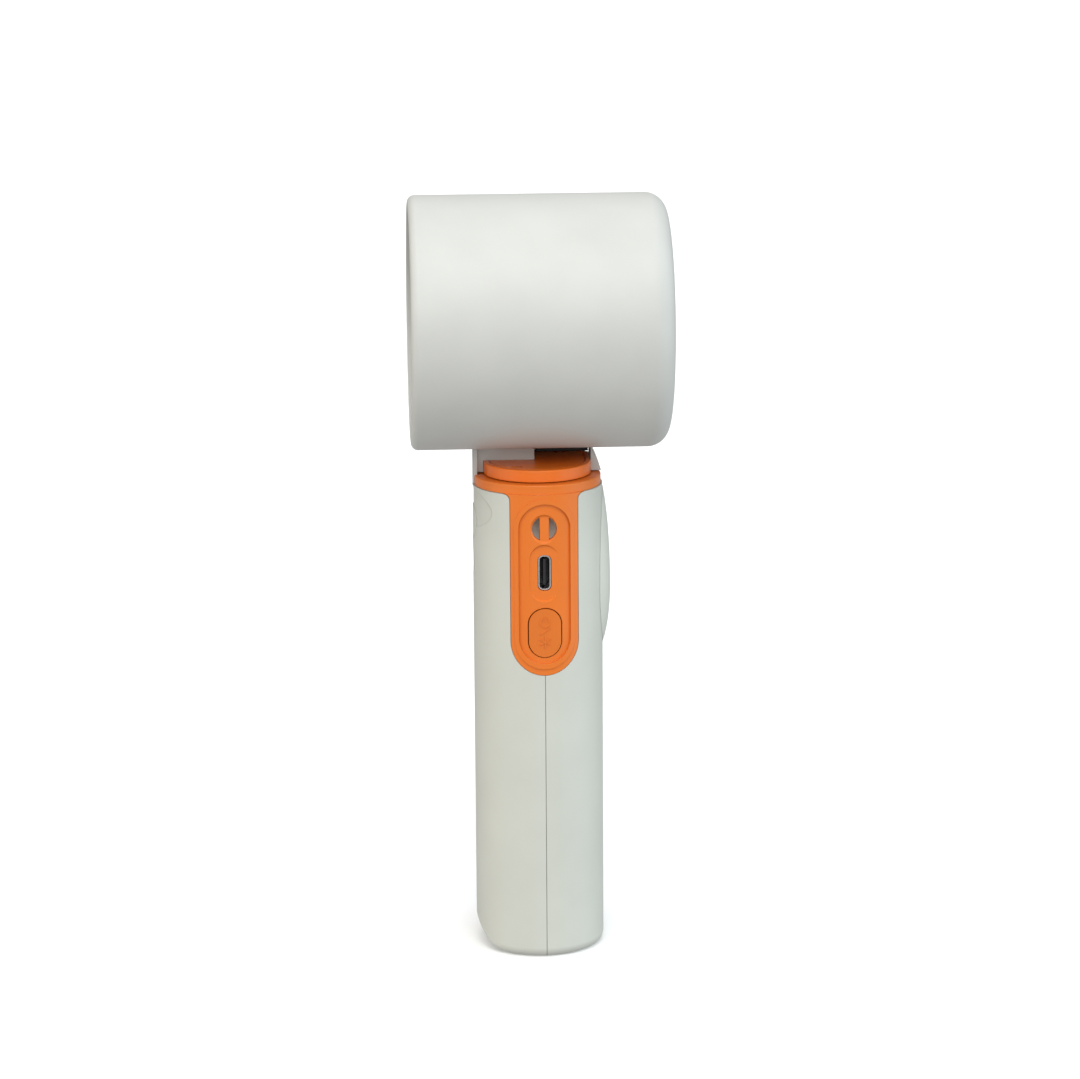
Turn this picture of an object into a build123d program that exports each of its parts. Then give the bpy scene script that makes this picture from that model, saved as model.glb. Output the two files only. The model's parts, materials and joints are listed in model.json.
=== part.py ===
from build123d import *
from math import cos, radians, sin, sqrt
import os

# Handheld turbo fan. Millimetres, +Z up. The origin is the middle of the handle's foot, so the
# handle's axis is the Z axis. The fan's axis is parallel to X: air leaves the head towards -X,
# which is the front. The side panel with its socket and button faces -Y.

os.makedirs("parts", exist_ok=True)

# ---------------------------------------------------------------- handle
handle_r = 16.5             # outside radius of the round handle
handle_top = 121.6          # top edge of the two handle shells
handle_wall = 1.6
foot_edge_r = 2.5           # rounding round the foot
front_toe_r = 10.0          # larger rounding at the front of the foot
rear_toe_r = 4.5
toe_spare = 0.25
seam_x = 0.9                # the handle shells meet on this plane
fit_gap = 0.1               # between fixed neighbours
move_gap = 0.3              # between pieces that move past each other

# ---------------------------------------------------------------- side panel and neck cap
ledge_r = 16.1              # lower step of the orange cap
ledge_small_r = 15.0        # the ledge is smaller where the neck's skirt passes it
ledge_top = 124.0
rear_ledge_y = 9.0          # how far round the back the ledge keeps its full size
panel_w = 17.1              # the panel's foot is a half circle
panel_foot = 75.0
panel_in_r = 14.4
ring_w = 15.4               # raised bead round the panel's field
ring_foot = 76.6
ring_head = 120.6
ring_rise = 0.25
field_w = 13.1              # recessed field inside the bead
field_foot = 78.0
field_head = 119.3
field_depth = 0.35
lanyard_z = 112.8
lanyard_r = 3.15
lanyard_bar_w = 2.3
rim_spread = 2.0            # how much wider than the hole its countersunk rim starts
usb_z = 101.4
usb_tall = 8.94             # receptacle shell, outside
usb_wide = 3.16
usb_corner_r = 1.25
usb_mouth = 15.1            # the receptacle's mouth and board end, measured from the Z axis
usb_end = 8.1
dish_wide = 9.4             # recess round the socket, at the panel's face
dish_tall = 16.1
power_z = 86.0
power_tall = 12.5
power_wide = 8.2
button_travel = 0.5

# ---------------------------------------------------------------- front control
pocket_z = 116.0            # shallow oval pocket round the upper half of the speed button
pocket_wide = 22.4
pocket_tall = 10.4
pocket_depth = 0.25
speed_z = 112.0
speed_r = 4.4
lens_z = 101.5              # charge indicator below the button
lens_tall = 7.0
lens_wide = 4.4

# ---------------------------------------------------------------- swivel
disc_r = 13.6               # upper orange step: the turntable
disc_bottom = ledge_top + move_gap
disc_top = 127.3
disc_back_r = 16.2          # the turntable's back follows the handle's outline
groove_wide = 0.35
groove_depth = 0.5
spindle_r = 5.0
spindle_bore_r = 3.4
spindle_foot = 112.0
flange_r = 7.0
flange_top = 125.5
bush_r = 6.4
bush_foot = 114.0
stop_arc_r = 9.6
stop_pin_r = 1.0
stop_start = -45            # where the stop pin stands, in degrees from +X
swivel_range = 90
skirt_r = 15.35             # inside radius of the neck's front skirt
skirt_y = -1.5              # the skirt's near edge
skirt_gap = 0.12            # split line between the handle and the skirt

# ---------------------------------------------------------------- head
head_r = 32.05
head_front = -32.1
head_rear = 33.0
head_z = 163.0              # height of the fan's axis
head_wall = 2.4
front_rim_r = 1.8
rear_rim_r = 5.5
rear_mouth_r = 25.8
duct_r = 27.6
duct_in_r = 26.2
grille_front = head_front + 2.8     # front face of the outlet grille
grille_back = head_front + 5.3
duct_front = head_front + 8.1
duct_back = head_rear - 3.9
hub_r = 13.4
tip_gap = 0.6
blade_count = 9
vane_count = 11
shaft_r = 1.5
bearing_r = 4.0

# ---------------------------------------------------------------- battery, boards, screws
cell_r = 9.2                # one 18650 cell
cell_long = 65.0
cell_foot = 7.4
board_y = -8.0              # near face of the main board
board_thick = 1.2
front_board_x = -9.8
screw_y = 2.6
screw_heights = (86.0, 108.0)
screw_seat = 2.0            # how far behind the seam the handle screws' heads sit
post_r = 2.6                # screw posts of the front shell
sleeve_r = 3.2              # screw sleeves of the rear shell

head_axis = Axis((0, 0, head_z), (1, 0, 0))
pieces = {}


# ---------------------------------------------------------------- shared shapes
def handle_solid(inset):
    """The handle's outside as a solid, pulled in by inset everywhere but at its top."""
    radius = handle_r - inset
    with BuildPart() as body:
        with BuildSketch(Plane.XY.offset(inset)):
            Circle(radius)
        extrude(amount=handle_top - inset)
        fillet(body.faces().sort_by(Axis.Z)[0].edges(), foot_edge_r - inset)
        # the toe roundings start a little outside the round wall, so that they cut it cleanly
        with BuildSketch(Plane.XZ) as side:
            with Locations((0, (handle_top + inset) / 2)):
                Rectangle(2 * (radius + toe_spare), handle_top - inset)
            fillet(side.vertices().group_by(Axis.Y)[0].sort_by(Axis.X)[0], front_toe_r - inset)
            fillet(side.vertices().group_by(Axis.Y)[0].sort_by(Axis.X)[-1], rear_toe_r - inset)
        extrude(amount=2 * handle_r, both=True, mode=Mode.INTERSECT)
    return body.part


def cap_outline(grow):
    """T-shaped outline of the cap and its side panel, seen from the side."""
    half = panel_w / 2 + grow
    foot = panel_foot + panel_w / 2
    with BuildSketch(Plane.XZ) as outline:
        with Locations((seam_x, (foot + ledge_top) / 2)):
            Rectangle(2 * half, ledge_top - foot)
        with Locations((seam_x, foot)):
            Circle(half)
        with Locations((0, (handle_top - grow + ledge_top) / 2)):
            Rectangle(4 * handle_r, ledge_top - handle_top + grow)
        inner = outline.vertices().filter_by(lambda v: abs(v.Y - handle_top + grow) < 0.01)
        fillet(inner.filter_by(lambda v: abs(v.X) < handle_r), 1.6)
    return outline.sketch


def upright_slot(wide, foot, head, reach):
    """Round-ended outline centred on the panel, on a plane at -Y = reach."""
    with BuildSketch(Plane.XZ.offset(reach)) as outline:
        with Locations((seam_x, (foot + head) / 2)):
            SlotOverall(head - foot, wide, rotation=90)
    return outline.sketch


def tube(low, high, r_out, r_in):
    """Tube on the Z axis."""
    with BuildPart() as ring:
        with BuildSketch(Plane.XY.offset(low)):
            Circle(r_out)
            Circle(r_in, mode=Mode.SUBTRACT)
        extrude(amount=high - low)
    return ring.part


def head_tube(low, high, r_out, r_in):
    """Tube on the fan's axis, between two places along X."""
    with BuildPart() as ring:
        with BuildSketch(Plane.YZ.offset(low)):
            with Locations((0, head_z)):
                Circle(r_out)
                Circle(r_in, mode=Mode.SUBTRACT)
        extrude(amount=high - low)
    return ring.part


def turned(points, roundings=()):
    """Solid turned about the fan's axis from (x, radius) points; roundings are (index, radius)."""
    with BuildPart() as body:
        with BuildSketch(Plane.XZ) as half:
            with BuildLine():
                Polyline([(x, head_z + r) for x, r in points], close=True)
            make_face()
            for index, rounding in roundings:
                x, r = points[index]
                corner = half.vertices().sort_by_distance((x, head_z + r, 0))[0]
                fillet(corner, rounding)
        revolve(axis=head_axis)
    return body.part


def spokes(count, low, high, r_in, r_out, thick):
    """Radial bars on the fan's axis."""
    with BuildPart() as bars:
        with BuildSketch(Plane.YZ.offset(low)):
            with Locations((0, head_z)):
                with PolarLocations((r_in + r_out) / 2, count):
                    Rectangle(r_out - r_in, thick)
        extrude(amount=high - low)
    return bars.part


def blade_ring(count, low, high, r_low, r_high, twist, thick, lean):
    """Twisted blades on the fan's axis, each lofted through three sections."""
    with BuildPart() as blade:
        for share in (0.0, 0.5, 1.0):
            angle = radians(twist * (1 - 0.3 * share))
            section = Plane(
                origin=((low + high) / 2, lean * share, head_z + r_low + share * (r_high - r_low)),
                x_dir=(cos(angle), sin(angle), 0),
                z_dir=(0, 0, 1),
            )
            with BuildSketch(section):
                Ellipse((high - low) / 2 / cos(angle), thick / 2)
        loft()
    with BuildPart() as ring:
        for number in range(count):
            add(blade.part.rotate(head_axis, number * 360 / count))
    return ring.part


def screw(length, head_r, head_high, shank_r):
    """Cross-head screw with its head above the XY plane and its point below."""
    with BuildPart() as one:
        Cylinder(head_r, head_high, align=(Align.CENTER, Align.CENTER, Align.MIN))
        fillet(one.edges().sort_by(Axis.Z)[-1], head_high * 0.35)
        Cylinder(shank_r, length, align=(Align.CENTER, Align.CENTER, Align.MAX))
        chamfer(one.edges().sort_by(Axis.Z)[0], shank_r * 0.4)
        with BuildSketch(Plane.XY.offset(head_high)):
            Rectangle(head_r * 1.1, head_r * 0.3)
            Rectangle(head_r * 0.3, head_r * 1.1)
        extrude(amount=-head_high * 0.45, mode=Mode.SUBTRACT)
    return one.part


# ---------------------------------------------------------------- handle shells
outside = handle_solid(0)
inside = handle_solid(handle_wall)

with BuildPart() as handle_skin:
    add(outside)
    add(inside, mode=Mode.SUBTRACT)
    extrude(cap_outline(fit_gap), amount=2 * handle_r, mode=Mode.SUBTRACT)

with BuildPart() as front_shell:
    add(handle_skin.part)
    split(bisect_by=Plane.YZ.offset(seam_x - fit_gap / 2), keep=Keep.BOTTOM)
    # two screw posts that reach back to the seam
    with BuildSketch(Plane.YZ.offset(seam_x - fit_gap / 2)):
        with Locations(*[(screw_y, z) for z in screw_heights]):
            Circle(post_r)
    extrude(amount=-(handle_r - 2))
    add(outside, mode=Mode.INTERSECT)
    with BuildSketch(Plane.YZ.offset(seam_x)):
        with Locations(*[(screw_y, z) for z in screw_heights]):
            Circle(0.95)
    extrude(amount=-9, mode=Mode.SUBTRACT)
    # pocket of even depth round the curved front
    with BuildPart(mode=Mode.PRIVATE) as pocket:
        with BuildSketch(Plane.YZ.offset(-handle_r - 1)):
            with Locations((0, pocket_z)):
                Ellipse(pocket_wide / 2, pocket_tall / 2)
        extrude(amount=handle_r)
        with BuildSketch(Plane.XY.offset(pocket_z - pocket_tall)):
            Circle(handle_r - pocket_depth)
        extrude(amount=2 * pocket_tall, mode=Mode.SUBTRACT)
    add(pocket.part, mode=Mode.SUBTRACT)
    with BuildSketch(Plane.YZ.offset(-handle_r - 1)):
        with Locations((0, speed_z)):
            Circle(speed_r + 0.2)
        with Locations((0, lens_z)):
            SlotOverall(lens_tall + 2 * fit_gap, lens_wide + 2 * fit_gap, rotation=90)
    extrude(amount=8, mode=Mode.SUBTRACT)
pieces["front_shell"] = front_shell

with BuildPart() as rear_shell:
    add(handle_skin.part)
    split(bisect_by=Plane.YZ.offset(seam_x + fit_gap / 2), keep=Keep.TOP)
    # screw sleeves that end inside the wall, counterbored from the back
    with BuildPart(mode=Mode.PRIVATE) as sleeves:
        with BuildSketch(Plane.YZ.offset(seam_x + fit_gap / 2)):
            with Locations(*[(screw_y, z) for z in screw_heights]):
                Circle(sleeve_r)
        extrude(amount=handle_r)
        add(handle_solid(handle_wall / 2), mode=Mode.INTERSECT)
    add(sleeves.part)
    sunk = turned(
        [
            (seam_x, 0),
            (seam_x, 1.2),
            (seam_x + screw_seat, 1.2),
            (seam_x + screw_seat, 2.1),
            (20, 2.1),
            (20, 0),
        ]
    )
    for height in screw_heights:
        add(Pos(0, screw_y, height - head_z) * sunk, mode=Mode.SUBTRACT)
pieces["rear_shell"] = rear_shell

with BuildPart() as handle_screws:
    for height in screw_heights:
        place = Plane(origin=(seam_x + screw_seat + 0.05, screw_y, height), z_dir=(1, 0, 0))
        add(place.location * screw(9, 1.9, 1.4, 0.9))
pieces["handle_screws"] = handle_screws

# domed finger rest over the screw holes: fuller below, running out towards the top
rest_x = 14.1
rest_z = 95.0
rest_low = (4.4, 6.2, 18.5)
rest_high = (4.4, 6.2, 31.0)
low_half = split(scale(Sphere(1), by=rest_low), bisect_by=Plane.XY, keep=Keep.BOTTOM)
high_half = split(scale(Sphere(1), by=rest_high), bisect_by=Plane.XY, keep=Keep.TOP)
with BuildPart() as finger_rest:
    add(Pos(rest_x, 0, rest_z) * low_half)
    add(Pos(rest_x, 0, rest_z) * high_half)
    with BuildSketch(Plane.XY):
        Circle(handle_r + 0.02)
    extrude(amount=head_z, mode=Mode.SUBTRACT)
pieces["finger_rest"] = finger_rest

# ---------------------------------------------------------------- neck cap with the side panel
power_foot = power_z - power_tall / 2
power_head = power_z + power_tall / 2

with BuildPart() as neck_cap:
    # the panel: the handle's round wall inside the T-shaped outline
    with BuildSketch(Plane.XY.offset(panel_foot - 1)):
        Circle(handle_r)
        Circle(panel_in_r, mode=Mode.SUBTRACT)
    extrude(amount=handle_top - panel_foot + 1)
    extrude(cap_outline(0), amount=2 * handle_r, mode=Mode.INTERSECT)
    # raised bead round the field
    with BuildPart(mode=Mode.PRIVATE) as bead:
        with BuildSketch(Plane.XY.offset(panel_foot)):
            Circle(handle_r + ring_rise)
            Circle(handle_r - 0.4, mode=Mode.SUBTRACT)
        extrude(amount=handle_top - panel_foot)
        ring_outline = upright_slot(ring_w, ring_foot, ring_head, 0)
        extrude(ring_outline, amount=2 * handle_r, mode=Mode.INTERSECT)
    add(bead.part)
    with BuildPart(mode=Mode.PRIVATE) as field:
        with BuildSketch(Plane.XY.offset(panel_foot)):
            Circle(2 * handle_r)
            Circle(handle_r - field_depth, mode=Mode.SUBTRACT)
        extrude(amount=handle_top - panel_foot)
        field_outline = upright_slot(field_w, field_foot, field_head, 0)
        extrude(field_outline, amount=2 * handle_r, mode=Mode.INTERSECT)
    add(field.part, mode=Mode.SUBTRACT)
    # ledge, with its smaller side where the neck's skirt swings past, and the pivot boss
    with BuildSketch(Plane.XY.offset(handle_top)):
        Circle(ledge_small_r)
        with BuildSketch(mode=Mode.PRIVATE) as near_side:
            Circle(ledge_r)
            with Locations((0, ledge_r + skirt_y - 0.15)):
                Rectangle(4 * ledge_r, 2 * ledge_r, mode=Mode.SUBTRACT)
        add(near_side.sketch)
        with BuildSketch(mode=Mode.PRIVATE) as rear_side:
            Circle(ledge_r)
            with Locations((-2 * ledge_r, 0)):
                Rectangle(4 * ledge_r, 4 * ledge_r, mode=Mode.SUBTRACT)
            with Locations((0, ledge_r + rear_ledge_y)):
                Rectangle(4 * ledge_r, 2 * ledge_r, mode=Mode.SUBTRACT)
        add(rear_side.sketch)
    extrude(amount=ledge_top - handle_top)
    with BuildSketch(Plane.XY.offset(bush_foot)):
        Circle(bush_r + 2)
    extrude(amount=handle_top - bush_foot)
    with BuildSketch(Plane.XY.offset(bush_foot)):
        Circle(bush_r)
    extrude(amount=ledge_top - bush_foot, mode=Mode.SUBTRACT)
    with BuildSketch(Plane.XY.offset(ledge_top)):
        Circle(8.8)
    extrude(amount=-0.6, mode=Mode.SUBTRACT)
    # hole of the stop pin
    with BuildSketch(Plane.XY.offset(ledge_top)):
        with PolarLocations(stop_arc_r, 1, start_angle=stop_start):
            Circle(stop_pin_r)
    extrude(amount=-2.4, mode=Mode.SUBTRACT)
    # lanyard holes each side of the bar, with a countersunk rim
    with BuildSketch(Plane.XZ.offset(handle_r + 1)):
        with Locations((seam_x, lanyard_z)):
            Circle(lanyard_r + rim_spread)
    extrude(amount=-1.9, taper=45, mode=Mode.SUBTRACT)
    with BuildSketch(Plane.XZ.offset(handle_r + 1)):
        with Locations((seam_x, lanyard_z)):
            Circle(lanyard_r)
            Rectangle(lanyard_bar_w, 2 * lanyard_r, mode=Mode.SUBTRACT)
    extrude(amount=-6, mode=Mode.SUBTRACT)
    # dished recess round the socket, and the socket's hole
    dish_outline = upright_slot(dish_wide, usb_z - dish_tall / 2, usb_z + dish_tall / 2, handle_r + 0.5)
    extrude(dish_outline, amount=-1.4, taper=36, mode=Mode.SUBTRACT)
    with BuildSketch(Plane.XZ.offset(handle_r + 1)):
        with Locations((seam_x, usb_z)):
            RectangleRounded(usb_wide + 0.3, usb_tall + 0.3, usb_corner_r + 0.15)
    extrude(amount=-6, mode=Mode.SUBTRACT)
    # hole of the power button
    power_outline = upright_slot(power_wide + 0.5, power_foot - 0.25, power_head + 0.25, handle_r + 1)
    extrude(power_outline, amount=-8, mode=Mode.SUBTRACT)
    top_rim = neck_cap.edges().filter_by(GeomType.CIRCLE).group_by(Axis.Z)[-1]
    fillet(top_rim.filter_by(lambda e: e.radius > ledge_small_r + 0.5), 0.35)
pieces["neck_cap"] = neck_cap

with BuildPart() as lanyard_cup:
    with BuildSketch(Plane.XZ.offset(panel_in_r - 1.3)):
        with Locations((seam_x, lanyard_z)):
            Circle(4.6)
    extrude(amount=-4.4)
    with Locations((seam_x, -handle_r - 0.3, lanyard_z)):
        Sphere(5.0, mode=Mode.SUBTRACT)
pieces["lanyard_cup"] = lanyard_cup

# ---------------------------------------------------------------- socket, boards and switches
usb_back = 0.8              # closed back of the receptacle
usb_skin = 0.3              # thickness of its steel
with BuildPart() as usb_c_shell:
    with BuildSketch(Plane.XZ.offset(usb_mouth)):
        with Locations((seam_x, usb_z)):
            RectangleRounded(usb_wide, usb_tall, usb_corner_r)
    extrude(amount=usb_end - usb_mouth)
    with BuildSketch(Plane.XZ.offset(usb_mouth)):
        with Locations((seam_x, usb_z)):
            RectangleRounded(usb_wide - 2 * usb_skin, usb_tall - 2 * usb_skin, usb_corner_r - usb_skin)
    extrude(amount=usb_end + usb_back - usb_mouth, mode=Mode.SUBTRACT)
pieces["usb_c_shell"] = usb_c_shell

with BuildPart() as usb_c_tongue:
    with BuildSketch(Plane.XZ.offset(usb_end + usb_back)):
        with Locations((seam_x, usb_z)):
            RectangleRounded(usb_wide - 0.7, usb_tall - 0.7, usb_corner_r - 0.35)
    extrude(amount=0.8)
    with BuildSketch(Plane.XZ.offset(usb_end + usb_back + 0.8)):
        with Locations((seam_x, usb_z)):
            Rectangle(0.7, 6.7)
    extrude(amount=4.4)
pieces["usb_c_tongue"] = usb_c_tongue

with BuildPart() as main_board:
    with BuildSketch(Plane.XZ.offset(-board_y)):
        with Locations((seam_x, 95)):
            RectangleRounded(16, 34, 1.5)
    extrude(amount=-board_thick)
pieces["main_board"] = main_board

# charger, controller, coil and two small parts: middle across and up, then width, height, thickness
chips = (
    (0, 90, 5, 5, 0.9),
    (-3.5, 99, 3, 4, 1.2),
    (4.5, 97, 4, 4, 1.8),
    (1, 106, 3, 3, 0.8),
    (5.5, 106, 1.6, 3, 0.8),
)
with BuildPart() as board_chips:
    for x, z, wide, tall, deep in chips:
        with BuildSketch(Plane.XZ.offset(-board_y - board_thick)):
            with Locations((seam_x + x, z)):
                Rectangle(wide, tall)
        extrude(amount=-deep)
pieces["board_chips"] = board_chips


def switch_parts(place):
    """Body and plunger of a push switch; place puts its board face on XY, plunger along +Z."""
    with BuildPart() as body:
        Box(5.2, 5.2, 2.4, align=(Align.CENTER, Align.CENTER, Align.MIN))
        fillet(body.edges().filter_by(Axis.Z), 0.5)
        with BuildSketch(Plane.XY.offset(2.4)):
            Circle(1.15)
        extrude(amount=-1.3, mode=Mode.SUBTRACT)
    with BuildPart() as plunger:
        with BuildSketch(Plane.XY.offset(1.1 + button_travel + 0.1)):
            Circle(1.05)
        extrude(amount=1.9)
    body.part = place * body.part
    plunger.part = place * plunger.part
    return body, plunger


power_place = Plane(origin=(seam_x, board_y, power_z), z_dir=(0, -1, 0)).location
power_switch, power_plunger = switch_parts(power_place)
pieces["power_switch"] = power_switch
pieces["power_plunger"] = power_plunger
plunger_reach = 1.1 + button_travel + 0.1 + 1.9

with BuildPart() as front_board:
    with BuildSketch(Plane.YZ.offset(front_board_x)):
        with Locations((-1.6, 107.5)):
            RectangleRounded(7.4, 18, 1)
        # round notch for the upper screw post
        with Locations((screw_y, screw_heights[1])):
            Circle(post_r + 0.3, mode=Mode.SUBTRACT)
    extrude(amount=1.0)
pieces["front_board"] = front_board

speed_place = Plane(origin=(front_board_x, 0, speed_z), z_dir=(-1, 0, 0)).location
speed_switch, speed_plunger = switch_parts(speed_place)
pieces["speed_switch"] = speed_switch
pieces["speed_plunger"] = speed_plunger

with BuildPart() as indicator_lens:
    with BuildSketch(Plane.YZ.offset(-handle_r)):
        with Locations((0, lens_z)):
            SlotOverall(lens_tall, lens_wide, rotation=90)
    extrude(amount=6.4)
    add(handle_solid(0.25), mode=Mode.INTERSECT)
pieces["indicator_lens"] = indicator_lens

# ---------------------------------------------------------------- buttons
power_back = -board_y + plunger_reach       # the plunger's tip, measured from the Z axis
icon_rise = 0.18
with BuildPart() as power_button:
    extrude(upright_slot(power_wide, power_foot, power_head, power_back), amount=6)
    with BuildSketch(Plane.XY.offset(power_foot - 1)):
        Circle(handle_r - 0.1)
    extrude(amount=power_tall + 2, mode=Mode.INTERSECT)
    # retaining flange behind the panel
    extrude(upright_slot(power_wide + 1.8, power_foot - 0.9, power_head + 0.9, power_back), amount=0.8)
    # raised power mark, slash and fan mark
    with BuildPart(mode=Mode.PRIVATE) as icons:
        with BuildSketch(Plane.XZ.offset(handle_r - 1)):
            with Locations((seam_x, power_z + 2.75)):
                Circle(1.35)
                Circle(1.0, mode=Mode.SUBTRACT)
                with Locations((0, 1.2)):
                    Rectangle(1.3, 0.9, mode=Mode.SUBTRACT)
                with Locations((0, 0.85)):
                    Rectangle(0.35, 1.5)
            with Locations((seam_x, power_z + 0.5)):
                Rectangle(0.35, 3.2, rotation=-57)
            with Locations((seam_x, power_z - 2.3)):
                for turn in (0, 60, 120):
                    Rectangle(0.35, 3.2, rotation=turn)
        extrude(amount=2)
        with BuildSketch(Plane.XY.offset(power_foot)):
            Circle(handle_r - 0.1 + icon_rise)
        extrude(amount=power_tall, mode=Mode.INTERSECT)
    add(icons.part)
pieces["power_button"] = power_button

speed_back = front_board_x - plunger_reach
with BuildPart() as speed_button:
    with BuildSketch(Plane.YZ.offset(speed_back)):
        with Locations((0, speed_z)):
            Circle(speed_r)
    extrude(amount=-6)
    with BuildSketch(Plane.XY.offset(speed_z - speed_r - 1)):
        Circle(handle_r - 0.05)
    extrude(amount=2 * speed_r + 2, mode=Mode.INTERSECT)
pieces["speed_button"] = speed_button

# ---------------------------------------------------------------- battery
with BuildPart() as battery_cell:
    with BuildSketch(Plane.XY.offset(cell_foot)):
        Circle(cell_r)
    extrude(amount=cell_long)
    fillet(battery_cell.edges(), 0.6)
pieces["battery_cell"] = battery_cell

cradle_foot = cell_foot - 2.6
cradle_head = cell_foot + cell_long + 2.6
with BuildPart() as battery_cradle:
    with BuildSketch(Plane.XY.offset(cradle_foot)):
        Circle(handle_r - handle_wall - 0.4)
        with Locations((handle_r + 1.5, 0)):
            Rectangle(2 * handle_r, 3 * handle_r, mode=Mode.SUBTRACT)
    extrude(amount=cradle_head - cradle_foot)
    add(handle_solid(handle_wall + 0.4), mode=Mode.INTERSECT)
    with BuildSketch(Plane.XY.offset(cell_foot - 1.2)):
        Circle(cell_r + 0.15)
    extrude(amount=cell_long + 2.4, mode=Mode.SUBTRACT)
pieces["battery_cradle"] = battery_cradle

with BuildPart() as cell_tabs:
    with BuildSketch(Plane.XY.offset(cell_foot + cell_long)):
        Rectangle(5, 12)
    extrude(amount=0.15)
    with BuildSketch(Plane.XY.offset(cell_foot)):
        Rectangle(5, 12)
    extrude(amount=-0.15)
pieces["cell_tabs"] = cell_tabs

with BuildPart() as battery_pads:
    with BuildSketch(Plane.XY.offset(cell_foot + cell_long + 0.15)):
        Circle(7.5)
    extrude(amount=1.0)
    with BuildSketch(Plane.XY.offset(cell_foot - 0.15)):
        Circle(7.5)
    extrude(amount=-1.0)
pieces["battery_pads"] = battery_pads

# ---------------------------------------------------------------- swivel, fixed side
with BuildPart() as swivel_bush:
    add(tube(bush_foot, ledge_top - 0.6, bush_r, spindle_r + 0.05))
pieces["swivel_bush"] = swivel_bush

with BuildPart() as thrust_washer:
    add(tube(ledge_top - 0.6, disc_bottom - 0.05, 8.6, spindle_r + 0.05))
pieces["thrust_washer"] = thrust_washer

with BuildPart() as stop_pin:
    with BuildSketch(Plane.XY.offset(ledge_top - 2.4)):
        with PolarLocations(stop_arc_r, 1, start_angle=stop_start):
            Circle(stop_pin_r)
    extrude(amount=3.9)
pieces["stop_pin"] = stop_pin

# ---------------------------------------------------------------- swivel, turning side
def disc_outline(grow, height):
    """The turntable's outline: round in front, with straight sides towards the back."""
    with BuildSketch(Plane.XY.offset(height)) as outline:
        Circle(disc_r + grow)
        with Locations((0, handle_r / 2)):
            Rectangle(2 * (disc_r + grow), handle_r)
        Circle(disc_back_r + grow, mode=Mode.INTERSECT)
    return outline.sketch


disc_screw_places = ((-7.6, 7.4), (-3.4, 12.0))
with BuildPart() as swivel_disc:
    extrude(disc_outline(0, disc_bottom), amount=disc_top - disc_bottom)
    fillet(swivel_disc.edges().group_by(Axis.Z)[-1], 0.4)
    extrude(disc_outline(-1.3, disc_top - groove_depth), amount=groove_depth, mode=Mode.SUBTRACT)
    extrude(disc_outline(-1.3 - groove_wide, disc_top - groove_depth), amount=groove_depth)
    with BuildSketch(Plane.XY.offset(disc_bottom)):
        Circle(flange_r + 0.05)
    extrude(amount=flange_top - disc_bottom + 0.02, mode=Mode.SUBTRACT)
    with BuildSketch(Plane.XY.offset(disc_bottom)):
        SlotArc(CenterArc((0, 0), stop_arc_r, stop_start, swivel_range), 2 * stop_pin_r + 0.5)
    extrude(amount=1.6, mode=Mode.SUBTRACT)
    with BuildSketch(Plane.XY.offset(disc_bottom)):
        with Locations(*disc_screw_places):
            Circle(1.9)
    extrude(amount=1.4, mode=Mode.SUBTRACT)
    with BuildSketch(Plane.XY.offset(disc_bottom)):
        with Locations(*disc_screw_places):
            Circle(1.0)
    extrude(amount=disc_top - disc_bottom, mode=Mode.SUBTRACT)
pieces["swivel_disc"] = swivel_disc

with BuildPart() as swivel_spindle:
    with BuildSketch(Plane.XY.offset(spindle_foot)):
        Circle(spindle_r)
    extrude(amount=flange_top - spindle_foot)
    with BuildSketch(Plane.XY.offset(disc_bottom)):
        Circle(flange_r)
    extrude(amount=flange_top - disc_bottom)
    with BuildSketch(Plane.XY.offset(spindle_foot)):
        Circle(spindle_bore_r)
    extrude(amount=flange_top - spindle_foot, mode=Mode.SUBTRACT)
    with BuildSketch(Plane.XY.offset(spindle_foot + 0.8)):
        Circle(spindle_r)
        Circle(spindle_r - 0.5, mode=Mode.SUBTRACT)
    extrude(amount=0.8, mode=Mode.SUBTRACT)
pieces["swivel_spindle"] = swivel_spindle

with BuildPart() as retaining_ring:
    with BuildSketch(Plane.XY.offset(spindle_foot + 0.85)):
        Circle(7.4)
        Circle(spindle_r - 0.45, mode=Mode.SUBTRACT)
        with Locations((-7, 0)):
            Rectangle(8, 3, mode=Mode.SUBTRACT)
    extrude(amount=0.7)
pieces["retaining_ring"] = retaining_ring

with BuildPart() as disc_screws:
    for x, y in disc_screw_places:
        place = Plane(origin=(x, y, disc_bottom + 1.4), z_dir=(0, 0, -1))
        add(place.location * screw(4.4, 1.7, 1.2, 0.9))
pieces["disc_screws"] = disc_screws

# ---------------------------------------------------------------- neck
neck_top = head_z - head_r + 8      # higher than the neck's joint with the round head
wall_y = 0.2
notch_low = -0.7                    # the dark notch beside the neck's front half
notch_high = 13.65
notch_deep = 11.6
neck_screw_places = ((-12.0, 6.5), (-2.8, 7.8))

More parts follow.
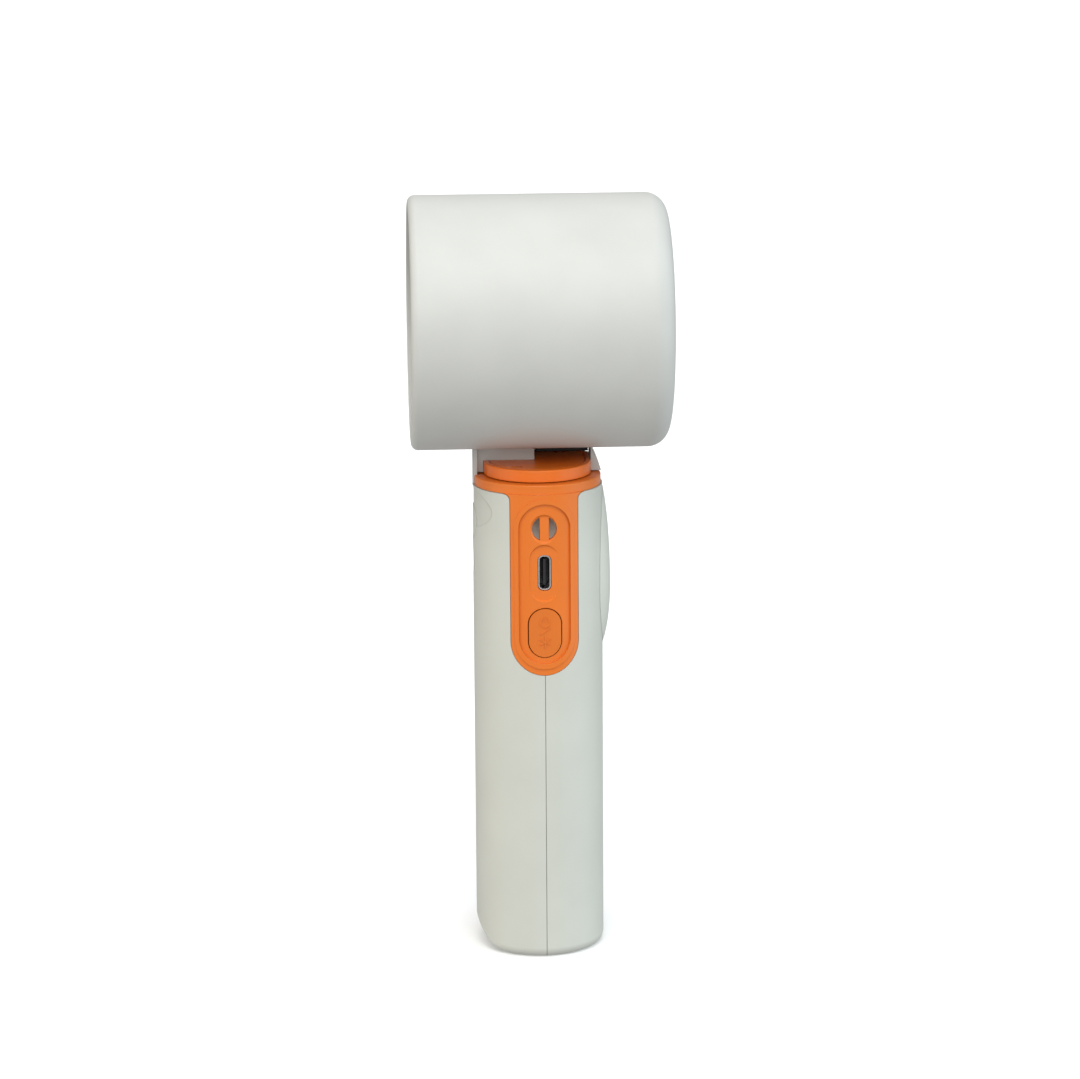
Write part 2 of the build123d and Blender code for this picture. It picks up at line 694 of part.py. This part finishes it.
with BuildPart() as neck_block:
    with BuildSketch(Plane.XY.offset(disc_bottom)):
        Circle(handle_r)
        with Locations((0, wall_y - handle_r)):
            Rectangle(4 * handle_r, 2 * handle_r, mode=Mode.SUBTRACT)
    extrude(amount=neck_top - disc_bottom)
    # skirt down the front, outside the ledge
    with BuildPart(mode=Mode.PRIVATE) as skirt:
        with BuildSketch(Plane.XY.offset(handle_top + skirt_gap)):
            Circle(handle_r)
            Circle(skirt_r, mode=Mode.SUBTRACT)
            with Locations((handle_r - 13.2, 0)):
                Rectangle(2 * handle_r, 3 * handle_r, mode=Mode.SUBTRACT)
            with Locations((0, skirt_y - handle_r)):
                Rectangle(3 * handle_r, 2 * handle_r, mode=Mode.SUBTRACT)
        extrude(amount=neck_top - handle_top - skirt_gap)
    add(skirt.part)
    # room for the turntable
    extrude(disc_outline(0.03, handle_top), amount=disc_top + 0.01 - handle_top, mode=Mode.SUBTRACT)
    # the back runs in towards the head in a curve
    with BuildSketch(Plane.XZ):
        with BuildLine():
            curve = ThreePointArc((handle_r, disc_bottom - 1.2), (15.1, 127.7), (12.1, 132.4))
            Polyline(
                curve @ 1,
                (12.1, neck_top + 1),
                (handle_r + 3, neck_top + 1),
                (handle_r + 3, disc_bottom - 1.2),
                curve @ 0,
            )
        make_face()
    extrude(amount=2 * handle_r, both=True, mode=Mode.SUBTRACT)
    # deep notch in the near face
    with BuildSketch(Plane.XZ):
        with Locations(((notch_low + notch_high) / 2, (disc_top + neck_top) / 2)):
            Rectangle(notch_high - notch_low, neck_top - disc_top)
    extrude(amount=-notch_deep, mode=Mode.SUBTRACT)
    # seat of the round head
    with BuildSketch(Plane.YZ.offset(-2 * handle_r)):
        with Locations((0, head_z)):
            Circle(head_r + 0.02)
    extrude(amount=4 * handle_r, mode=Mode.SUBTRACT)
    with BuildSketch(Plane.XY.offset(disc_top)):
        with Locations(*disc_screw_places):
            Circle(0.95)
    extrude(amount=3, mode=Mode.SUBTRACT)
    with BuildSketch(Plane.XY.offset(disc_top + 1.2)):
        with Locations(*neck_screw_places):
            Circle(0.95)
    extrude(amount=12, mode=Mode.SUBTRACT)
pieces["neck_block"] = neck_block

with BuildPart() as neck_wire_cover:
    with BuildSketch(Plane.XZ.offset(1.6 - notch_deep)):
        with Locations(((notch_low + 0.9 + notch_high) / 2, disc_top + 2.3)):
            Rectangle(notch_high - notch_low - 1.0, 4.4)
    extrude(amount=-1.4)
    with BuildSketch(Plane.YZ.offset(-2 * handle_r)):
        with Locations((0, head_z)):
            Circle(head_r + 0.05)
    extrude(amount=4 * handle_r, mode=Mode.SUBTRACT)
pieces["neck_wire_cover"] = neck_wire_cover

# ---------------------------------------------------------------- head housing and grilles
inner_r = head_r - head_wall
with BuildPart() as head_housing:
    add(
        turned(
            [
                (head_front, head_r),
                (head_rear, head_r),
                (head_rear, rear_mouth_r),
                (head_rear - head_wall, rear_mouth_r),
                (head_rear - head_wall, inner_r),
                (head_front, inner_r),
            ],
            [(0, front_rim_r), (1, rear_rim_r), (4, 2.5), (5, 0.4), (2, 0.6)],
        )
    )
    # screw holes down into the neck
    with BuildSketch(Plane.XY.offset(disc_top)):
        with Locations(*neck_screw_places):
            Circle(1.05)
    extrude(amount=9, mode=Mode.SUBTRACT)
pieces["head_housing"] = head_housing

with BuildPart() as neck_screws:
    for x, y in neck_screw_places:
        seat = head_z - sqrt(inner_r**2 - (y + 1.9) ** 2) + 0.05
        add(Pos(x, y, seat) * screw(5.4, 1.8, 0.8, 0.9))
pieces["neck_screws"] = neck_screws

with BuildPart() as outlet_bezel:
    add(
        turned(
            [
                (head_front + 1.6, inner_r - 0.05),
                (duct_front - 0.1, inner_r - 0.05),
                (duct_front - 0.1, duct_in_r),
                (head_front + 5.5, duct_in_r),
                (head_front + 1.6, inner_r - 1.2),
            ],
            [(0, 0.3), (4, 0.4)],
        )
    )
pieces["outlet_bezel"] = outlet_bezel

with BuildPart() as outlet_grille:
    for outer, inner in ((duct_in_r - 0.1, duct_in_r - 1.4), (20.0, 19.0), (14.4, 13.4)):
        add(head_tube(grille_front + 1.2, grille_back, outer, inner))
    add(
        turned(
            [
                (grille_front, 0),
                (grille_front, 6),
                (grille_front + 0.8, 8),
                (grille_back, 8),
                (grille_back, 0),
            ]
        )
    )
    add(spokes(15, grille_front + 1.2, grille_back, 7.5, duct_in_r - 1.0, 1.0))
pieces["outlet_grille"] = outlet_grille

with BuildPart() as rear_grille:
    add(head_tube(head_rear - 3.8, head_rear - 2.5, rear_mouth_r + 1.6, rear_mouth_r - 2.6))
    add(head_tube(head_rear - 2.5, head_rear - 0.8, rear_mouth_r - 0.1, rear_mouth_r - 2.6))
    for radius in (10.4, 15.0, 19.6):
        add(head_tube(head_rear - 2.8, head_rear - 0.8, radius, radius - 1.1))
    add(
        turned(
            [
                (head_rear - 2.8, 0),
                (head_rear - 2.8, 6.4),
                (head_rear - 0.8, 6.4),
                (head_rear, 5.0),
                (head_rear, 0),
            ],
            [(3, 0.8)],
        )
    )
    add(spokes(24, head_rear - 2.8, head_rear - 0.8, 5.8, rear_mouth_r - 2.2, 1.0))
pieces["rear_grille"] = rear_grille

# ---------------------------------------------------------------- duct, vanes and motor
with BuildPart() as inner_duct:
    add(
        turned(
            [
                (duct_front, duct_r),
                (24, duct_r),
                (duct_back, 28.9),
                (duct_back, 27.7),
                (24, duct_in_r),
                (duct_front, duct_in_r),
            ]
        )
    )
pieces["inner_duct"] = inner_duct

with BuildPart() as duct_seals:
    add(head_tube(-23, -20, inner_r - 0.02, duct_r + 0.02))
    add(head_tube(20, 23, inner_r - 0.02, duct_r + 0.02))
pieces["duct_seals"] = duct_seals

with BuildPart() as vane_ring:
    add(head_tube(-20, -4, duct_in_r - 0.05, duct_in_r - 1.1))
    add(head_tube(-20, -4, hub_r, hub_r - 1.3))
    add(head_tube(-20, -18.6, hub_r, 4.2))
    add(blade_ring(vane_count, -19.5, -4.5, hub_r - 0.4, duct_in_r - 0.9, 24, 1.3, 0))
    with BuildSketch(Plane.YZ.offset(-20)):
        with Locations((0, head_z)):
            with PolarLocations(7.6, 3):
                Circle(1.1)
    extrude(amount=1.4, mode=Mode.SUBTRACT)
pieces["vane_ring"] = vane_ring

with BuildPart() as tail_cone:
    add(
        turned(
            [
                (-20.1, hub_r),
                (-20.1, hub_r - 1.2),
                (grille_back + 1.2, 8.0),
                (grille_back + 0.2, 0),
                (grille_back + 0.05, 0),
                (grille_back + 0.05, 7.6),
                (grille_back + 1.7, 9.6),
            ]
        )
    )
pieces["tail_cone"] = tail_cone

with BuildPart() as bearing_tube:
    add(head_tube(-18.5, -17.1, 10, bearing_r + 0.02))
    add(head_tube(-17.1, 7.2, 5.2, bearing_r + 0.02))
    with BuildSketch(Plane.YZ.offset(-18.5)):
        with Locations((0, head_z)):
            with PolarLocations(7.6, 3):
                Circle(0.95)
    extrude(amount=1.4, mode=Mode.SUBTRACT)
pieces["bearing_tube"] = bearing_tube

with BuildPart() as motor_bearings:
    for low in (-16.5, 4.0):
        add(head_tube(low, low + 3, bearing_r, shaft_r + 0.03))
pieces["motor_bearings"] = motor_bearings

with BuildPart() as motor_board:
    add(head_tube(-16.9, -15.9, 11.6, 5.3))
pieces["motor_board"] = motor_board

with BuildPart() as stator_core:
    add(head_tube(-7, 3, 6.4, 5.25))
    add(spokes(6, -7, 3, 6.0, 9.0, 1.8))
    for number in range(6):
        with BuildPart(mode=Mode.PRIVATE) as shoe:
            with BuildSketch(Plane.YZ.offset(-7)):
                with Locations((0, head_z)):
                    with PolarLocations(8.9, 1):
                        Rectangle(0.9, 7.0)
            extrude(amount=10)
        add(shoe.part.rotate(head_axis, number * 60))
    add(head_tube(-7, 3, 9.5, 5.25), mode=Mode.INTERSECT)
pieces["stator_core"] = stator_core

with BuildPart() as stator_windings:
    for number in range(6):
        with BuildPart(mode=Mode.PRIVATE) as coil:
            with BuildSketch(Plane.YZ.offset(-8.3)):
                with Locations((0, head_z)):
                    with PolarLocations(7.45, 1):
                        Rectangle(1.8, 3.9)
            extrude(amount=12.6)
            with BuildSketch(Plane.YZ.offset(-7.02)):
                with Locations((0, head_z)):
                    with PolarLocations(7.45, 1):
                        Rectangle(3, 1.84)
            extrude(amount=10.04, mode=Mode.SUBTRACT)
        add(coil.part.rotate(head_axis, number * 60))
pieces["stator_windings"] = stator_windings

with BuildPart() as motor_screws:
    for number in range(3):
        one = Plane(origin=(-20.0, 7.6, head_z), z_dir=(-1, 0, 0)).location * screw(3.0, 1.7, 1.1, 0.9)
        add(one.rotate(head_axis, number * 120))
pieces["motor_screws"] = motor_screws

# ---------------------------------------------------------------- rotor
with BuildPart() as motor_shaft:
    add(turned([(-17.0, 0), (-17.0, shaft_r), (15.8, shaft_r), (15.8, 0)]))
pieces["motor_shaft"] = motor_shaft

with BuildPart() as rotor_bell:
    add(head_tube(-8.6, 8.2, 11.7, 10.7))
    add(head_tube(8.2, 9.2, 11.7, shaft_r))
pieces["rotor_bell"] = rotor_bell

with BuildPart() as rotor_magnets:
    add(head_tube(-7, 3, 10.68, 9.75))
pieces["rotor_magnets"] = rotor_magnets

with BuildPart() as impeller:
    add(
        turned(
            [
                (-2.5, hub_r),
                (8, hub_r),
                (14, 11.9),
                (17.5, 8.0),
                (17.5, shaft_r),
                (9.22, shaft_r),
                (9.22, 11.72),
                (-2.5, 11.72),
            ],
            [(1, 12)],
        )
    )
    with BuildPart(mode=Mode.PRIVATE) as blades:
        add(blade_ring(blade_count, -1.5, 13.5, 10.2, duct_in_r, -38, 1.5, 4))
        add(head_tube(-2.5, 17.5, duct_in_r - tip_gap, 12.0), mode=Mode.INTERSECT)
    add(blades.part)
pieces["impeller"] = impeller

with BuildPart() as spinner:
    add(turned([(17.52, 0), (17.52, 8.0), (20, 6.2), (22, 3.2), (22.6, 0)], [(2, 4)]))
pieces["spinner"] = spinner

# ---------------------------------------------------------------- write the pieces
for name, piece in pieces.items():
    piece.part.label = name
    export_step(piece.part, f"parts/{name}.step")
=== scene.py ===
import json
import math

import bpy
from mathutils import Matrix, Vector


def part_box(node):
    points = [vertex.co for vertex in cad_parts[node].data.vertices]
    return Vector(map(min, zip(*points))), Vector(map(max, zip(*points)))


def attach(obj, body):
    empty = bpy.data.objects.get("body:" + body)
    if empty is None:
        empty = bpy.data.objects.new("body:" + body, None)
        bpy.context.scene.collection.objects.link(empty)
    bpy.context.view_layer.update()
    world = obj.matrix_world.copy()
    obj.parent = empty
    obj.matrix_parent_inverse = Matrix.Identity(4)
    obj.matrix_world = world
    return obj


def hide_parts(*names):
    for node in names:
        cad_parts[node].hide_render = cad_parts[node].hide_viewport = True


# Handheld turbo fan in a plain studio. Metres, +Z up, and the camera looks along +Y.
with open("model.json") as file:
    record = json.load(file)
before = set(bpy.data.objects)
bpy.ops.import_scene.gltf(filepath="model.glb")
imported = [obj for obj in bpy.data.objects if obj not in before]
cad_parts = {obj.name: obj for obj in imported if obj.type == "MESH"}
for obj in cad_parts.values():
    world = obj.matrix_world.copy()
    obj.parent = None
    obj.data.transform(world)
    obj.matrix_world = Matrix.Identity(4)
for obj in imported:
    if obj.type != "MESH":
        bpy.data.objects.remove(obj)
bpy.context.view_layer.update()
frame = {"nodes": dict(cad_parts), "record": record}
nodes = frame["nodes"]
scene = bpy.context.scene
MM = 0.001
NOISE_LOW = 0.3     # nearly all noise values lie between these two
NOISE_HIGH = 0.7


# ---------------------------------------------------------------- materials
def shader(name):
    """A new node material: its node tree, its Principled shader and its object coordinates."""
    material = bpy.data.materials.new(name)
    material.use_nodes = True
    tree = material.node_tree
    principled = tree.nodes["Principled BSDF"]
    place = tree.nodes.new("ShaderNodeTexCoord").outputs["Object"]
    return material, tree, principled, place


def noise(tree, place, size, detail=3.0, stretch=(1, 1, 1)):
    """Noise whose patches are about size metres across."""
    mapping = tree.nodes.new("ShaderNodeMapping")
    mapping.inputs["Scale"].default_value = stretch
    tree.links.new(place, mapping.inputs["Vector"])
    texture = tree.nodes.new("ShaderNodeTexNoise")
    texture.inputs["Scale"].default_value = 1 / size
    texture.inputs["Detail"].default_value = detail
    tree.links.new(mapping.outputs["Vector"], texture.inputs["Vector"])
    return texture.outputs["Fac"]


def spread(tree, value, low, high):
    """Noise stretched from its usual middle range to low..high."""
    ramp = tree.nodes.new("ShaderNodeMapRange")
    ramp.inputs["From Min"].default_value = NOISE_LOW
    ramp.inputs["From Max"].default_value = NOISE_HIGH
    ramp.inputs["To Min"].default_value = low
    ramp.inputs["To Max"].default_value = high
    tree.links.new(value, ramp.inputs["Value"])
    return ramp.outputs["Result"]


def tint(tree, value, first, second):
    """Colour between two close tints, by a value from 0 to 1."""
    mix = tree.nodes.new("ShaderNodeMix")
    mix.data_type = "RGBA"
    mix.inputs["A"].default_value = (*first, 1)
    mix.inputs["B"].default_value = (*second, 1)
    tree.links.new(value, mix.inputs["Factor"])
    return mix.outputs["Result"]


def relief(tree, principled, height, depth, edge=0.0):
    """Bump of depth metres, over edges rounded by edge metres."""
    bump = tree.nodes.new("ShaderNodeBump")
    bump.inputs["Distance"].default_value = depth
    tree.links.new(height, bump.inputs["Height"])
    if edge:
        rounded = tree.nodes.new("ShaderNodeBevel")
        rounded.samples = 4
        rounded.inputs["Radius"].default_value = edge
        tree.links.new(rounded.outputs["Normal"], bump.inputs["Normal"])
    tree.links.new(bump.outputs["Normal"], principled.inputs["Normal"])


def scaled(colour, factor):
    """The colour made darker or lighter."""
    return tuple(channel * factor for channel in colour)


def plastic(name, colour, roughness, grain=0.00045, depth=0.000012, mottle=0.03, edge=0.00022):
    """Moulded plastic: faint mottling, fine spark-eroded grain, softened edges."""
    material, tree, principled, place = shader(name)
    patches = spread(tree, noise(tree, place, 0.018), 0, 1)
    shade = tint(tree, patches, scaled(colour, 1 - mottle), scaled(colour, 1 + mottle))
    tree.links.new(shade, principled.inputs["Base Color"])
    sheen = spread(tree, noise(tree, place, 0.006), roughness - 0.04, roughness + 0.05)
    tree.links.new(sheen, principled.inputs["Roughness"])
    principled.inputs["Specular IOR Level"].default_value = 0.4
    relief(tree, principled, noise(tree, place, grain, 4), depth, edge)
    return material


def metal(name, colour, roughness, stretch=(1, 1, 14), edge=0.0001):
    """Metal with fine drawn lines along one axis."""
    material, tree, principled, place = shader(name)
    lines = noise(tree, place, 0.0009, 3, stretch)
    shade = tint(tree, spread(tree, lines, 0, 1), scaled(colour, 0.88), colour)
    tree.links.new(shade, principled.inputs["Base Color"])
    polish = spread(tree, lines, roughness - 0.08, roughness + 0.1)
    tree.links.new(polish, principled.inputs["Roughness"])
    principled.inputs["Metallic"].default_value = 1.0
    relief(tree, principled, lines, 0.000006, edge)
    return material


def lens(name, colour):
    """Smoked clear plastic, polished, with faint flow lines."""
    material, tree, principled, place = shader(name)
    flow = noise(tree, place, 0.003, 2, (1, 1, 3))
    shade = tint(tree, spread(tree, flow, 0, 1), scaled(colour, 0.8), scaled(colour, 1.2))
    tree.links.new(shade, principled.inputs["Base Color"])
    tree.links.new(spread(tree, flow, 0.08, 0.16), principled.inputs["Roughness"])
    principled.inputs["Coat Weight"].default_value = 0.6
    relief(tree, principled, flow, 0.000004, 0.0001)
    return material


def windings(name, colour):
    """Enamelled wire in close turns, with painted shade darkening the grooves between them."""
    material, tree, principled, place = shader(name)
    turns_per_metre = 700
    wave = tree.nodes.new("ShaderNodeTexWave")
    wave.inputs["Scale"].default_value = turns_per_metre
    wave.inputs["Distortion"].default_value = 1.5
    tree.links.new(place, wave.inputs["Vector"])
    turns = wave.outputs["Fac"]
    # painted shade: the colour falls to 0.45 of the copper in the grooves of the bump
    tree.links.new(tint(tree, turns, scaled(colour, 0.45), colour), principled.inputs["Base Color"])
    tree.links.new(spread(tree, turns, 0.22, 0.4), principled.inputs["Roughness"])
    principled.inputs["Metallic"].default_value = 0.85
    relief(tree, principled, turns, 0.00006)
    return material


def foam(name, colour):
    """Soft foam with open pores, with painted shade in their pits."""
    material, tree, principled, place = shader(name)
    pores_per_metre = 2200
    cells = tree.nodes.new("ShaderNodeTexVoronoi")
    cells.inputs["Scale"].default_value = pores_per_metre
    tree.links.new(place, cells.inputs["Vector"])
    pores = cells.outputs["Distance"]
    # painted shade and light: the colour halves in the pits of the bump and rises to 1.3 times on
    # the ridges
    shade = tint(tree, pores, scaled(colour, 0.5), scaled(colour, 1.3))
    tree.links.new(shade, principled.inputs["Base Color"])
    tree.links.new(spread(tree, pores, 0.8, 0.95), principled.inputs["Roughness"])
    relief(tree, principled, pores, 0.0002)
    return material


WHITE = (0.535, 0.545, 0.49)
HEAD_WHITE = (0.52, 0.522, 0.495)
ORANGE = (0.7, 0.165, 0.016)
# the swivel disc's orange is lighter than ORANGE: painted light making up for the shade under the
# head
DISC_ORANGE_PAINTED_LIGHT = (0.78, 0.165, 0.013)
BUTTON_ORANGE = scaled(ORANGE, 0.92)
SHARP = 0.12 * MM       # edge rounding of the orange pieces
CRISP = 0.04 * MM       # of the power button, which keeps its raised marks clear
finishes = {
    "white_plastic": plastic("white_plastic", WHITE, 0.42),
    "head_white": plastic("head_white", HEAD_WHITE, 0.42),
    "orange_plastic": plastic("orange_plastic", ORANGE, 0.32, mottle=0.04, edge=SHARP),
    "disc_orange_painted_light": plastic(
        "disc_orange_painted_light", DISC_ORANGE_PAINTED_LIGHT, 0.3, mottle=0.04, edge=SHARP
    ),
    "button_orange": plastic("button_orange", BUTTON_ORANGE, 0.3, mottle=0.04, edge=CRISP),
    "grey_plastic": plastic("grey_plastic", (0.33, 0.33, 0.32), 0.45),
    "dark_plastic": plastic("dark_plastic", (0.02, 0.02, 0.022), 0.38, mottle=0.15),
    "smoked_lens": lens("smoked_lens", (0.018, 0.018, 0.02)),
    "steel": metal("steel", (0.62, 0.62, 0.63), 0.3),
    "zinc_screw": metal("zinc_screw", (0.7, 0.7, 0.68), 0.38),
    "aluminium": metal("aluminium", (0.78, 0.78, 0.79), 0.34),
    "board_green": plastic("board_green", (0.015, 0.12, 0.05), 0.35, grain=0.0012, mottle=0.2),
    "chip_black": plastic("chip_black", (0.015, 0.015, 0.016), 0.5, mottle=0.2),
    "copper": windings("copper", (0.75, 0.27, 0.1)),
    "cell_wrap": plastic("cell_wrap", (0.05, 0.16, 0.42), 0.25, grain=0.003, mottle=0.08),
    "nickel": metal("nickel", (0.66, 0.62, 0.55), 0.28),
    "foam": foam("foam", (0.05, 0.05, 0.05)),
    "magnet": metal("magnet", (0.32, 0.32, 0.34), 0.45),
}

# pieces whose finish is a shade of their slot's; the swivel disc's lighter orange is painted light
shades = {
    "swivel_disc": "disc_orange_painted_light",
    "neck_block": "head_white",
    "power_button": "button_orange",
}
for part in frame["record"]["subparts"]:
    mesh = nodes[part["node"]].data
    mesh.materials.clear()
    mesh.materials.append(finishes[shades.get(part["node"], part["material_slot"])])


# ---------------------------------------------------------------- mesh tools
SHARP_ANGLE = 35        # degrees between faces from which an edge isn't smoothed


def new_piece(name, points, faces, body, slot, finish=None):
    """A mesh piece on a body, with the finish of its slot or of a shade of that slot."""
    mesh = bpy.data.meshes.new(name)
    mesh.from_pydata(points, [], faces)
    mesh.validate()
    mesh.shade_smooth()
    mesh.set_sharp_from_angle(angle=math.radians(SHARP_ANGLE))
    piece = bpy.data.objects.new(name, mesh)
    scene.collection.objects.link(piece)
    mesh.materials.append(finishes[finish or slot])
    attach(piece, body)
    return piece


def arc(centre, radius, start, end, steps=10):
    """Points of a circular arc; angles in degrees."""
    turn = (end - start) / steps
    angles = [math.radians(start + turn * i) for i in range(steps + 1)]
    return [(centre[0] + radius * math.cos(a), centre[1] + radius * math.sin(a)) for a in angles]


def lathe(profile, height, turns=256):
    """Closed mesh turned about the line parallel to X at that height, from (x, radius) points."""
    count = len(profile)
    points = []
    for step in range(turns):
        angle = 2 * math.pi * step / turns
        points += [(x, r * math.cos(angle), height + r * math.sin(angle)) for x, r in profile]
    faces = []
    for step in range(turns):
        here = step * count
        there = (step + 1) % turns * count
        for i in range(count):
            j = (i + 1) % count
            faces.append((here + i, here + j, there + j, there + i))
    return points, faces


# ---------------------------------------------------------------- head housing
low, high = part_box("head_housing")
head_z = (low.z + high.z) / 2
head_r = (high.z - low.z) / 2
wall = 2.4 * MM
front_rim = 1.8 * MM
rear_rim = 5.5 * MM
mouth_r = 25.8 * MM
front_lip = 0.4 * MM
rear_lip = 0.6 * MM
corner = 2.5 * MM       # inside corner between the wall and the rear end
inner_r = head_r - wall
rear_inside = high.x - wall
profile = arc((low.x + front_rim, head_r - front_rim), front_rim, 180, 90, 12)
profile += arc((high.x - rear_rim, head_r - rear_rim), rear_rim, 90, 0, 20)
profile += arc((high.x - rear_lip, mouth_r + rear_lip), rear_lip, 0, -90, 6)
profile += [(rear_inside, mouth_r)]
profile += arc((rear_inside - corner, inner_r - corner), corner, 0, 90, 8)
profile += arc((low.x + front_lip, inner_r + front_lip), front_lip, 270, 180, 5)
head_shell = new_piece("head_shell", *lathe(profile, head_z), "head", "white_plastic", "head_white")
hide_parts("head_housing")


# ---------------------------------------------------------------- stage
def glow(tree, direction, edge_at, full_at, strength, colour):
    """Round soft light at infinity, between the cosines at which it starts and is full."""
    coordinates = tree.nodes.new("ShaderNodeTexCoord")
    dot = tree.nodes.new("ShaderNodeVectorMath")
    dot.operation = "DOT_PRODUCT"
    dot.inputs[1].default_value = Vector(direction).normalized()
    tree.links.new(coordinates.outputs["Generated"], dot.inputs[0])
    edge = tree.nodes.new("ShaderNodeMapRange")
    edge.interpolation_type = "SMOOTHSTEP"
    edge.inputs["From Min"].default_value = edge_at
    edge.inputs["From Max"].default_value = full_at
    edge.inputs["To Max"].default_value = strength
    tree.links.new(dot.outputs["Value"], edge.inputs["Value"])
    tinted = tree.nodes.new("ShaderNodeVectorMath")
    tinted.operation = "SCALE"
    tinted.inputs[0].default_value = colour
    tree.links.new(edge.outputs["Result"], tinted.inputs["Scale"])
    return tinted.outputs["Vector"]


def sky_band(tree, start, end, low, high):
    """Even light that changes with height, from low at height start to high at height end."""
    coordinates = tree.nodes.new("ShaderNodeTexCoord")
    split = tree.nodes.new("ShaderNodeSeparateXYZ")
    tree.links.new(coordinates.outputs["Generated"], split.inputs["Vector"])
    ramp = tree.nodes.new("ShaderNodeMapRange")
    ramp.inputs["From Min"].default_value = start
    ramp.inputs["From Max"].default_value = end
    ramp.inputs["To Min"].default_value = low
    ramp.inputs["To Max"].default_value = high
    tree.links.new(split.outputs["Z"], ramp.inputs["Value"])
    grey = tree.nodes.new("ShaderNodeCombineXYZ")
    for axis in "XYZ":
        tree.links.new(ramp.outputs["Result"], grey.inputs[axis])
    return grey.outputs["Vector"]


SKY_STRENGTH = 0.87
world = bpy.data.worlds.new("studio")
world.use_nodes = True
sky = world.node_tree
lights = [
    # even light from above, brighter overhead, and light thrown up by the floor
    sky_band(sky, 0, 1, 0.2, 0.5),
    sky_band(sky, -0.3, 0, 0.5, 0.2),
    # key light above the camera, and a weak one at its level
    glow(sky, (0, -0.8, 0.6), 0.81, 1.0, 2.55, (1, 1, 0.985)),
    glow(sky, (0, -1, 0.2), 0.8, 1.0, 0.45, (1, 1, 0.985)),
    # small bright one for the highlights on upper edges, and a broad one overhead
    glow(sky, (0, -0.5, 0.87), 0.975, 0.99, 4.5, (1, 1, 1)),
    glow(sky, (0, 0.1, 1), 0.73, 0.93, 0.9, (1, 1, 1)),
    # warm fill and a small highlight on the left, cool fill on the right
    glow(sky, (-0.9, -0.3, 0.3), 0.7, 0.9, 0.9, (1, 0.94, 0.86)),
    glow(sky, (-0.85, -0.45, 0.35), 0.985, 0.995, 4.0, (1, 0.97, 0.92)),
    glow(sky, (0.9, -0.3, 0.3), 0.7, 0.9, 1.35, (0.82, 1, 1.1)),
]
total = lights[0]
for light in lights[1:]:
    add = sky.nodes.new("ShaderNodeVectorMath")
    add.operation = "ADD"
    sky.links.new(total, add.inputs[0])
    sky.links.new(light, add.inputs[1])
    total = add.outputs["Vector"]
sky.links.new(total, sky.nodes["Background"].inputs["Color"])
sky.nodes["Background"].inputs["Strength"].default_value = SKY_STRENGTH
scene.world = world

# the floor looks white and takes soft shadows, but throws no light back
floor_half = 6.0
floor_mesh = bpy.data.meshes.new("floor")
signs = ((-1, -1), (1, -1), (1, 1), (-1, 1))
corners = [(x * floor_half, y * floor_half, 0) for x, y in signs]
floor_mesh.from_pydata(corners, [], [(0, 1, 2, 3)])
floor = bpy.data.objects.new("floor", floor_mesh)
scene.collection.objects.link(floor)
floor_material, floor_tree, floor_shader, floor_place = shader("floor_card")
card = spread(floor_tree, noise(floor_tree, floor_place, 0.3), 0, 1)
card_tint = tint(floor_tree, card, (0.92, 0.92, 0.92), (0.94, 0.94, 0.94))
floor_tree.links.new(card_tint, floor_shader.inputs["Base Color"])
floor_shader.inputs["Roughness"].default_value = 0.9
floor_shader.inputs["Specular IOR Level"].default_value = 0.1
floor_mesh.materials.append(floor_material)
floor.visible_diffuse = False
floor.visible_glossy = False


# ---------------------------------------------------------------- camera
def studio_camera(azimuth, elevation, distance, target, focal, roll):
    """Camera at angles in degrees and a distance from the target, with its focal length in mm."""
    data = bpy.data.cameras.new("camera")
    data.sensor_fit = "HORIZONTAL"
    data.sensor_width = 36
    data.lens = focal
    camera = bpy.data.objects.new("camera", data)
    a, e = math.radians(azimuth), math.radians(elevation)
    away = Vector((math.sin(a) * math.cos(e), -math.cos(a) * math.cos(e), math.sin(e)))
    turn = (-away).to_track_quat("-Z", "Y").to_matrix().to_4x4()
    place = Matrix.Translation(Vector(target) + away * distance)
    camera.matrix_world = place @ turn @ Matrix.Rotation(math.radians(roll), 4, "Z")
    scene.collection.objects.link(camera)
    return camera


scene.camera = studio_camera(
    azimuth=-3, elevation=13, distance=1.02, target=(0.0006, 0, 0.1065), focal=133.3, roll=-0.37
)
scene.view_settings.view_transform = "Standard"
